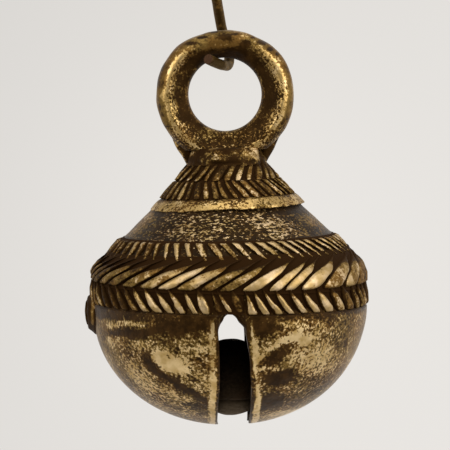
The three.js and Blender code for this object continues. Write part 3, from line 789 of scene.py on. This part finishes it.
# The ribbon's section: share of its height, how far it stands off the cone, wear and hollow
RIBBON_SECTION = (
    (0, -0.5, 0, 1), (0, 0.55, 0.2, 1), (0.03, 0.9, 0.46, 0.4), (0.1, 1.12, 0.54, 0), (0.3, 1.18, 0.54, 0),
    (0.55, 1.2, 0.52, 0), (0.8, 1.15, 0.48, 0), (0.93, 1.0, 0.4, 0), (1, 0.7, 0.2, 0.5), (1, -0.5, 0, 1),
)
RIBBON_FOOT, RIBBON_HEAD, RIBBON_TILT = 56.25, 59.05, 0.03
CONE_RADIUS, CONE_HEIGHT, CONE_SLOPE = 19.1, 56.2, 0.9  # the cone under it, its radius at a height


def ribbon():
    """The plain pressed ribbon: a flat band with a ragged lower edge, a little out of level."""
    azimuth = np.linspace(0, TAU, 480, endpoint=False)
    circle = around(18.0, azimuth, 0.0)
    foot = RIBBON_FOOT + 0.22 * wobble(circle, 9, seed=91) + 0.12 * wobble(circle, 1.6, seed=92)
    head = RIBBON_HEAD + 0.12 * wobble(circle, 7, seed=93)
    rows = []
    for share, off, *_ in RIBBON_SECTION:
        z = lerp(foot, head, share)
        cone = CONE_RADIUS - (z - CONE_HEIGHT) * CONE_SLOPE
        rows.append(around(cone + off, azimuth, z))
    points = np.stack(rows, 1)
    points[..., 2] += RIBBON_TILT * points[..., 0]
    flat = points.reshape(-1, 3)
    flat = flat * (1 + 0.004 * wobble(flat, 3, seed=94)[:, None] * [1, 1, 0])
    wear, hollow = (np.broadcast_to(column, points.shape[:2]) for column in np.array(RIBBON_SECTION).T[2:])
    faces = grid_faces(len(azimuth), len(RIBBON_SECTION), wrap_rows=True, wrap_columns=True)
    node = "ribbon_band"
    return make("ribbon_strip", flat, faces, RIBBON_LOOK, "bell", [node], wear, hollow)


# -------------------- ring, neck --------------------


def spline(points, steps, looped):
    """A Catmull-Rom curve through points, `steps` to each span."""
    points = np.asarray(points, float)
    count = len(points)
    out = []
    for i in range(count if looped else count - 1):
        pick = [(i + k) % count if looped else min(max(i + k, 0), count - 1) for k in (-1, 0, 1, 2)]
        a, b, c, d = points[pick]
        t = np.linspace(0, 1, steps, endpoint=False)[:, None]
        curve = 2 * b + (c - a) * t + (2 * a - 5 * b + 4 * c - d) * t**2 + (3 * b - a - 3 * c + d) * t**3
        out.append(0.5 * curve)
    if not looped:
        out.append(points[-1:])
    return np.concatenate(out)


# The ring's section as (radius, half thickness): all round, and at the top, where wear filled out the dish.
RING_SECTION = (
    (9.4, 0), (9.55, 1.0), (10.0, 1.9), (10.9, 2.5), (12.2, 3.1), (13.4, 4.0), (14.3, 4.85), (15.0, 5.0),
    (16.2, 4.6), (17.3, 3.3), (17.75, 1.7), (17.85, 0),
)
RING_TOP_SECTION = (
    (9.4, 0), (9.6, 1.1), (10.2, 2.2), (11.2, 3.6), (12.1, 4.5), (13.1, 4.9), (14.0, 5.0), (15.0, 4.9),
    (16.2, 4.4), (17.3, 3.2), (17.75, 1.7), (17.85, 0),
)
# Dark stains on the worn top of the ring, in front: (x, z, half width, half height).
RING_STAINS = (
    (0.4, 99.8, 1.5, 0.6), (5.6, 98.2, 1.1, 0.6), (9.6, 98.3, 1.2, 0.5), (11.7, 96.5, 0.7, 0.5),
    (13.6, 95.2, 0.4, 0.4), (-2.4, 101.3, 1.0, 0.3), (-8.5, 98.4, 1.3, 0.35), (-5.5, 99.9, 1.4, 0.25),
    (2.8, 100.6, 0.9, 0.25), (7.4, 99.6, 0.5, 0.3),
)
RING_FOOT = 71.0  # the ring ends here, inside the collar


def mirrored(half):
    """A whole section from its front half."""
    return half + tuple((radius, -y) for radius, y in half[-2:0:-1])


def ring():
    """The suspension ring: rounded rim, ridge, dished face and a rounded lip at the hole."""
    usual, topmost = (spline(mirrored(half), 5, looped=True) for half in (RING_SECTION, RING_TOP_SECTION))
    turn = np.linspace(0, TAU, 300, endpoint=False)[:, None]
    at_top = smoothstep(math.radians(62), math.radians(18), np.abs(turn - math.pi / 2))
    radius = lerp(usual[None, :, 0], topmost[None, :, 0], at_top)
    y = lerp(usual[None, :, 1], topmost[None, :, 1], at_top)
    radius = radius - 1.25 * np.clip(np.sin(turn), 0, 1) ** 3 * smoothstep(10.4, 17.8, radius)
    points = np.stack(np.broadcast_arrays(radius * np.cos(turn), y, RING_CENTRE + radius * np.sin(turn)), -1)
    flat = points.reshape(-1, 3).copy()
    middle = np.array([0, 0, RING_CENTRE])
    out = (flat - middle) / np.linalg.norm(flat - middle, axis=1)[:, None]
    across = np.linalg.norm((flat - middle)[:, [0, 2]], axis=1)
    rough = smoothstep(9.6, 12, across)
    lumps = 0.14 * wobble(flat, 6, seed=101) + 0.06 * wobble(flat, 2, seed=102) - 0.12
    flat += out * lumps[:, None] * rough[:, None]
    flat[:, 1] += (0.1 * wobble(flat, 5, seed=103) - 0.06) * rough * np.sign(flat[:, 1])
    flat[:, 2] = np.maximum(flat[:, 2], RING_FOOT)
    top = np.broadcast_to(at_top, radius.shape).ravel()
    shift = 0.4 * wobble(flat, 4, seed=104)
    spans = ((12.5, 13.9), (14.4, 15.1), (15.7, 16.4))
    slope, crest, limb = (smoothstep(low, high, across + shift) for low, high in spans)
    wear = 0.22 + 0.25 * slope + 0.13 * crest - 0.2 * limb + 0.05 * wobble(flat, 5, seed=105)
    # The worn top of the ring; toward the hole it is darker, painted shade where the top of the hole lies in
    # shadow.
    top_wear_and_shade = 0.4 + 0.06 * wobble(flat, 4, seed=107) - 0.2 * smoothstep(13.2, 11.2, across)
    wear = lerp(wear, top_wear_and_shade, top * smoothstep(10.4, 11.2, across))
    pits = lerp(0.6 + 0.8 * slope - 0.6 * crest - 0.6 * limb, 0.3, top)
    for x, z, wide, high in RING_STAINS:
        stain = hump(flat[:, 0], x, wide) * hump(flat[:, 2], z, high)
        wear -= 0.36 * stain * (flat[:, 1] < 0)
    low = smoothstep(79, 74, flat[:, 2])
    pits = lerp(pits, 1.2, low)
    edge_line = 0.14 * hump(across, 15.5, 0.25)
    wear = lerp(wear, 0.27 + 0.19 * crest - 0.12 * limb + edge_line + 0.06 * wobble(flat, 2, seed=106), low)
    lip = across < 10.3 + 0.4 * top
    # Painted shade: at the top of the hole the lip has less wear and takes soot, where it lies in shadow.
    wear = np.where(lip, 0.34 - 0.25 * top, wear)
    hollow = np.where(lip, 0.5 * top, 0.4 * (1 - slope) * (1 - low) * (1 - top))
    faces = grid_faces(len(turn), points.shape[1], wrap_rows=True, wrap_columns=True)
    node = "suspension_ring"
    return make("ring_casting", flat, faces, RING_LOOK, "bell", [node], wear, hollow, pits)


# The collar's outline as (radius, z)
COLLAR_OUTLINE = (
    (0, 66.9), (9.5, 66.9), (10.15, 67.9), (10.0, 68.9), (9.4, 69.8), (9.15, 70.5), (8.7, 71.1), (7.6, 71.5),
    (0, 71.6),
)


def collar():
    """The lumpy collar that the ring stands on."""
    outline = spline(COLLAR_OUTLINE, 6, looped=False)
    azimuth = np.linspace(0, TAU, 240, endpoint=False)
    points = around(outline[:, None, 0], azimuth[None, :], outline[:, None, 1]).reshape(-1, 3)
    lumps = 0.34 * wobble(points, 2.6, seed=111) + 0.12 * wobble(points, 1.0, seed=112)
    from_front = degrees_from_front(points)
    bite = 0.8 * hump(from_front, -8, 17) * hump(points[:, 2], 67.3, 0.9)
    points = points * (1 + ((lumps - bite) / 10)[:, None] * [1, 1, 0])
    wear = 0.24 + 0.8 * lumps + 0.2 * hump(points[:, 2], 69.9, 0.9) - 0.5 * bite
    faces = grid_faces(len(outline), len(azimuth), wrap_columns=True)
    hollow = np.clip(bite - 2 * lumps, 0, 1)
    node = "neck_collar"
    return make("collar_casting", points, faces, BRAID_LOOK, "bell", [node], wear, hollow)


# The webs' outer and inner edges as (z, distance from the axis), and half their thickness and where it lies
WEB_OUTSIDE = ((67.4, 10.3), (69, 11.2), (71, 12.4), (73, 13.35), (74.6, 14.1))
WEB_INSIDE = ((67.4, 8.4), (69, 8.6), (71, 8.4), (72.4, 8.8), (74.6, 12.6))
WEB_HALF_THICK, WEB_MIDDLE_Y = 1.75, 0.4


def gusset(side, name):
    """A thin web between the ring and the collar, rounded in plan."""
    z = np.linspace(WEB_OUTSIDE[0][0], WEB_OUTSIDE[-1][0], 30)
    outer = np.interp(z, *zip(*WEB_OUTSIDE))
    inner = np.interp(z, *zip(*WEB_INSIDE))
    turn = np.linspace(0, TAU, 28, endpoint=False)
    x = lerp(inner, outer, 0.5)[:, None] + (outer - inner)[:, None] / 2 * np.cos(turn)
    y = WEB_MIDDLE_Y + WEB_HALF_THICK * np.sign(np.sin(turn)) * np.abs(np.sin(turn)) ** 0.7
    points = np.stack(np.broadcast_arrays(side * x, y[None, :], z[:, None]), -1)
    rows, cols = points.shape[:2]
    flat = points.reshape(-1, 3)
    flat = flat + 0.1 * wobble(flat, 3, seed=121)[:, None]
    faces = tube_faces(rows, cols)
    proud = smoothstep(0.2, 0.8, np.broadcast_to(np.cos(turn), (rows, cols)).ravel())
    # Painted light: the left web, on which the light falls, is given more wear and so comes out paler, most
    # on its outer edge; the right one stays darker.
    wear = (0.14 + 0.36 * proud if side < 0 else 0.12 + 0.1 * proud) + 0.08 * wobble(flat, 2, seed=122)
    node = "ring_gusset_left" if side < 0 else "ring_gusset_right"
    return make(name, flat, faces, RING_LOOK, "bell", [node], wear, 0.0)


# The leaf's middle height, how far it reaches below and above it, half its width in degrees round the bowl,
# the height where it comes onto the lowest braid, the radius of its back, and its profile
LEAF_HEIGHT, LEAF_BELOW, LEAF_ABOVE, LEAF_HALF_TURN = 30.0, 5.9, 5.5, 9.6
LEAF_ON_BRAID, LEAF_BACK = 31.2, 33.8
LEAF_HEIGHTS = (23.7, 24.4, 25.7, 28.1, 30.2, 32.6, 34.5, 35.6)
LEAF_RADII = (35.6, 36.2, 36.9, 37.3, 37.45, 37.25, 36.8, 36.4)


def leaf():
    """The almond boss on the left: a raised border and a rib round two hollows, pointed at the foot."""
    rows, cols = 44, 96
    out = np.linspace(0, 1, rows)[:, None]
    turn = np.linspace(0, TAU, cols, endpoint=False)[None, :]
    up = np.sin(turn)
    foot_taper = 1 - 0.3 * np.clip(-up, 0, 1) ** 2
    z = LEAF_HEIGHT + np.where(up < 0, LEAF_BELOW, LEAF_ABOVE) * up * out
    pointed = np.cos(turn) * np.abs(np.cos(turn)) ** 0.8 * foot_taper
    azimuth = math.radians(LEAF_AZIMUTH) + math.radians(LEAF_HALF_TURN) * out * pointed
    seat = np.where(z > LEAF_ON_BRAID, SEAT_FOOT_RADIUS, bowl_radius(z))
    top = np.interp(z, LEAF_HEIGHTS, LEAF_RADII)
    border = hump(out, 0.72, 0.12)
    rib = 0.95 * hump(out * np.cos(turn), -0.1, 0.16) * smoothstep(0.8, 0.5, out)
    crown = np.sqrt(1 - out**3.5)
    height = np.clip(top - seat, 0.3, None) * crown * (0.6 + 0.4 * np.maximum(border, rib))
    front = around(seat + height, azimuth, z).reshape(-1, 3)
    back = around(np.full((1, cols), LEAF_BACK), azimuth[-1:], z[-1:]).reshape(-1, 3)
    points = np.concatenate([front, back])
    faces = [tuple(f) for f in grid_faces(rows + 1, cols, wrap_columns=True)]
    faces.append(tuple(rows * cols + j for j in range(cols)))
    # Painted reflection: a paler band of wear round the flank, clear of the foot, where the flank catches a
    # grazing sheen; it is also left free of soot.
    painted_sheen_flank = smoothstep(0.8, 0.88, out) * smoothstep(1.0, 0.95, out) * smoothstep(-0.75, -0.45, up)
    wear = np.concatenate([(0.12 + 0.26 * rib + 0.33 * painted_sheen_flank).ravel(), np.zeros(cols)])
    hollow = np.concatenate([((1 - rib) * 0.5 * (1 - painted_sheen_flank)).ravel(), np.ones(cols)])
    node = "side_leaf"
    return make("leaf_boss", points, faces, RING_LOOK, "bell", [node], wear, hollow, pits=0.3)


# -------------------- loose pieces --------------------


def pellet():
    """A forged iron ball, a little out of round, with a seam low down."""
    low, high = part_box("pellet")
    middle = np.array((low + high) / 2) / MM - [0, 0, BELL_BASE]
    rings, sides = 72, 120
    tilt = np.linspace(0, math.pi, rings)[:, None]
    turn = np.linspace(0, TAU, sides, endpoint=False)[None, :]
    unit = around(np.sin(tilt), turn, -np.cos(tilt)).reshape(-1, 3)
    seam = 0.3 * hump(unit[:, 2], -0.53, 0.03)
    # Painted light: the lower cap, which light reaches through the slot, is made lighter, carried as wear.
    rubbed = smoothstep(-0.5, -0.62, unit[:, 2])
    lumps = 0.12 * wobble(unit * 10, 7, seed=131) + 0.05 * wobble(unit * 10, 1.5, seed=132)
    radius = PELLET_RADIUS + np.minimum(lumps - seam, 0.1)
    points = middle + unit * radius[:, None]
    faces = grid_faces(rings, sides, wrap_columns=True)
    return make("iron_pellet", points, faces, IRON_LOOK, "pellet", ["pellet"], rubbed, seam)


# The wire's route: the cut front end, under the ring's top, up behind it and forward into the upper crook.
HOOK_ROUTE = (
    (-4.1, -7.6, 94.3), (-2.3, -4.2, 93.4), (-0.9, -1.6, 92.85), (-0.4, 0, 92.75), (0.1, 1.6, 92.65),
    (0.85, 4.2, 92.65), (1.3, 6.5, 94), (1, 7.6, 97), (0.2, 7.5, 99.7), (-0.5, 6.5, 102.3), (-1, 4.2, 105.3),
    (-1.6, -0.1, 109.3), (-2.3, -4.6, 113.3), (-2.8, -6.9, 116.2),
)
CROOK_RADIUS, CROOK_CENTRE, CROOK_HEADING = 7.9, 119.0, math.radians(247)
# The rounding of the wire's cut ends, as (share of the wire's radius, shift along the wire)
WIRE_END = ((0.25, 0.0), (0.8, 0.0), (0.94, 0.0), (1.0, 0.12))


def hook():
    """The wire hook: a tube along its route and round the upper crook, closed at its two cut ends."""
    turn = np.radians(np.arange(0, 211, 30))
    crook = around(CROOK_RADIUS * np.cos(turn), CROOK_HEADING, CROOK_CENTRE + CROOK_RADIUS * np.sin(turn))
    path = spline(np.concatenate([HOOK_ROUTE, crook]), 14, looped=False)
    along = np.gradient(path, axis=0)
    along /= np.linalg.norm(along, axis=1)[:, None]
    side = np.cross(along[0], [0, 0, 1.0])
    sides = 24
    turn = np.linspace(0, TAU, sides, endpoint=False)
    rings = []
    stations = [(path[0], along[0], scale, shift) for scale, shift in WIRE_END]
    stations += [(point, heading, 1.0, 0.0) for point, heading in zip(path[1:-1], along[1:-1])]
    stations += [(path[-1], along[-1], scale, -shift) for scale, shift in WIRE_END[::-1]]
    for point, heading, scale, shift in stations:
        side = side - heading * side.dot(heading)
        side /= np.linalg.norm(side)
        other = np.cross(heading, side)
        rim = np.cos(turn)[:, None] * side + np.sin(turn)[:, None] * other
        rings.append(point + heading * shift + WIRE_RADIUS * scale * rim)
    points = np.array(rings)
    rows = len(points)
    flat = points.reshape(-1, 3)
    spine = np.repeat(np.array([s[0] for s in stations]), sides, axis=0)
    out = (flat - spine) / np.linalg.norm(flat - spine, axis=1)[:, None]
    flat = flat + out * (0.03 * wobble(flat, 3, seed=141) - 0.06)[:, None]
    faces = tube_faces(rows, sides)
    cut = np.zeros((rows, sides))
    cut[:3] = 1
    cut[-3:] = 1
    node = "hanging_hook"
    return make("wire_hook", flat, faces, WIRE_LOOK, "hook", [node], 0.5, cut, weld=0.0005)


bowl()
dome()
braids()
ribbon()
ring()
collar()
gusset(-1, "web_left")
gusset(1, "web_right")
leaf()
pellet()
hook()

# -------------------- studio --------------------


def look(at, azimuth, elevation, distance):
    """A place `distance` from a point, seen at an azimuth from the front and an elevation, in degrees."""
    a, e = math.radians(azimuth), math.radians(elevation)
    heading = Vector((math.sin(a) * math.cos(e), -math.cos(a) * math.cos(e), math.sin(e)))
    return Vector(at) + distance * heading


def softbox(name, at, azimuth, elevation, distance, width, height, power, colour=(1, 1, 1)):
    """A rectangular lamp, sizes in metres, that lights a point and is not seen itself."""
    lamp = bpy.data.lights.new(name, "AREA")
    lamp.shape = "RECTANGLE"
    lamp.size, lamp.size_y = width, height
    lamp.energy = power
    lamp.color = colour
    thing = bpy.data.objects.new(name, lamp)
    thing.location = look(at, azimuth, elevation, distance)
    thing.rotation_mode = "QUATERNION"
    thing.rotation_quaternion = (thing.location - Vector(at)).to_track_quat("Z", "Y")
    thing.visible_camera = False
    bpy.context.scene.collection.objects.link(thing)


FLOOR_DROP, FLOOR_FADES, FLOOR_ENDS = 1.0, 1.6, 4.0  # m: how far below, and where it melts into the pale room
LAMPS_AIM = 45.0  # the height in mm that the lamps face
PAPER = ((0.84, 0.825, 0.80), (0.88, 0.865, 0.84))
# The room's light: how bright it is, how much brighter to the right (up to ROOM_EDGE) and below, the halo
# right behind the bell, and how dark the side behind the camera is to the bell.
ROOM_GLOW, ROOM_RIGHT, ROOM_EDGE, ROOM_BELOW = 0.74, 0.35, 0.3, 0.25
HALO_GLOW, HALO_FALL, HALO_DROP = 0.065, -160.0, 0.06
ROOM_SHADE, ROOM_SHADE_POWER = 0.8, 3.0
CAMERA_DISTANCE, CAMERA_HEIGHT, FIELD = 0.68, 92.0, 116.0  # m; mm above z = 0; mm across at the bell
AIM_X, AIM_HEIGHT, CAMERA_ROLL, SENSOR = -0.7, 51.5, math.radians(-1.2), 36


def studio_floor():
    """A round pale sheet of paper under the bell, which fades out toward its edge."""
    turn = np.linspace(0, TAU, 64, endpoint=False)
    rim = around(FLOOR_ENDS, turn, -FLOOR_DROP)
    mesh = bpy.data.meshes.new("studio_floor")
    mesh.from_pydata(rim.tolist(), [], [tuple(range(len(rim)))])
    floor = bpy.data.objects.new("studio_floor", mesh)
    bpy.context.scene.collection.objects.link(floor)
    paper = Nodes(bpy.data.materials.new("floor_paper"))
    reach = paper.tree.nodes.new("ShaderNodeVectorMath")
    reach.operation = "LENGTH"
    paper.put(reach.inputs[0], paper.coordinate)
    fade = paper.ramp(reach.outputs["Value"], FLOOR_FADES, 0.97 * FLOOR_ENDS, 1.0, 0.0)
    paper.shade(Base_Color=paper.mix(paper.noise(90.0), *PAPER), Roughness=0.8, Alpha=fade)
    mesh.materials.append(paper.owner)


def pale_room():
    """The world: pale to look at all round, and dark behind the camera to the bell only, so that the brass
    has something dark to reflect."""
    world = bpy.data.worlds.new("studio")
    bpy.context.scene.world = world
    sky = Nodes(world, "Background", "Generated")
    split = sky.tree.nodes.new("ShaderNodeSeparateXYZ")
    sky.put(split.inputs[0], sky.coordinate)
    right, away, up = split.outputs
    aside = sky.math("MAXIMUM", sky.math("MINIMUM", right, ROOM_EDGE), -ROOM_EDGE)
    glow = sky.math("ADD", sky.math("MULTIPLY", aside, ROOM_RIGHT), ROOM_GLOW)
    glow = sky.math("SUBTRACT", glow, sky.math("MULTIPLY", up, ROOM_BELOW))
    height = sky.math("ADD", up, HALO_DROP)
    spread = sky.math("ADD", sky.math("MULTIPLY", right, right), sky.math("MULTIPLY", height, height))
    halo = sky.math("EXPONENT", sky.math("MULTIPLY", spread, HALO_FALL), 0.0)
    glow = sky.math("ADD", glow, sky.math("MULTIPLY", halo, HALO_GLOW))
    toward_camera = sky.math("MAXIMUM", sky.math("MULTIPLY", away, -1.0), 0.0)
    shade = sky.math("MULTIPLY", sky.math("POWER", toward_camera, ROOM_SHADE_POWER), ROOM_SHADE)
    looked_at = sky.tree.nodes.new("ShaderNodeLightPath").outputs["Is Camera Ray"]
    shade = sky.math("MULTIPLY", shade, sky.math("SUBTRACT", 1.0, looked_at))
    glow = sky.math("MULTIPLY", glow, sky.math("SUBTRACT", 1.0, shade))
    sky.shade(Color=(1.0, 0.97, 0.93, 1), Strength=glow)


def studio_camera():
    """The camera, a little above the bell's middle and turned slightly about its own axis."""
    lens = bpy.data.cameras.new("camera")
    lens.sensor_width = SENSOR
    lens.lens = SENSOR * CAMERA_DISTANCE / (FIELD * MM)
    lens.clip_end = 50
    camera = bpy.data.objects.new("camera", lens)
    bpy.context.scene.collection.objects.link(camera)
    bpy.context.scene.camera = camera
    aim = Vector((AIM_X * MM, 0, (BELL_BASE + AIM_HEIGHT) * MM))
    camera.location = Vector((aim.x, -CAMERA_DISTANCE, (BELL_BASE + CAMERA_HEIGHT) * MM))
    pointed = (aim - camera.location).to_track_quat("-Z", "Y").to_matrix()
    camera.rotation_euler = (pointed @ Euler((0, 0, CAMERA_ROLL)).to_matrix()).to_euler()


bell_middle = Vector((0, 0, (BELL_BASE + LAMPS_AIM) * MM))
studio_floor()
pale_room()
softbox("key_right", bell_middle, 52, 22, 0.9, 0.7, 0.8, 4.6, (1.0, 0.97, 0.92))
softbox("fill_left", bell_middle, -48, 25, 0.9, 0.6, 0.8, 3.6, (1.0, 0.98, 0.95))
softbox("top", bell_middle, 0, 80, 1.0, 0.8, 0.8, 3.0)
studio_camera()

bpy.context.scene.view_settings.view_transform = "Standard"
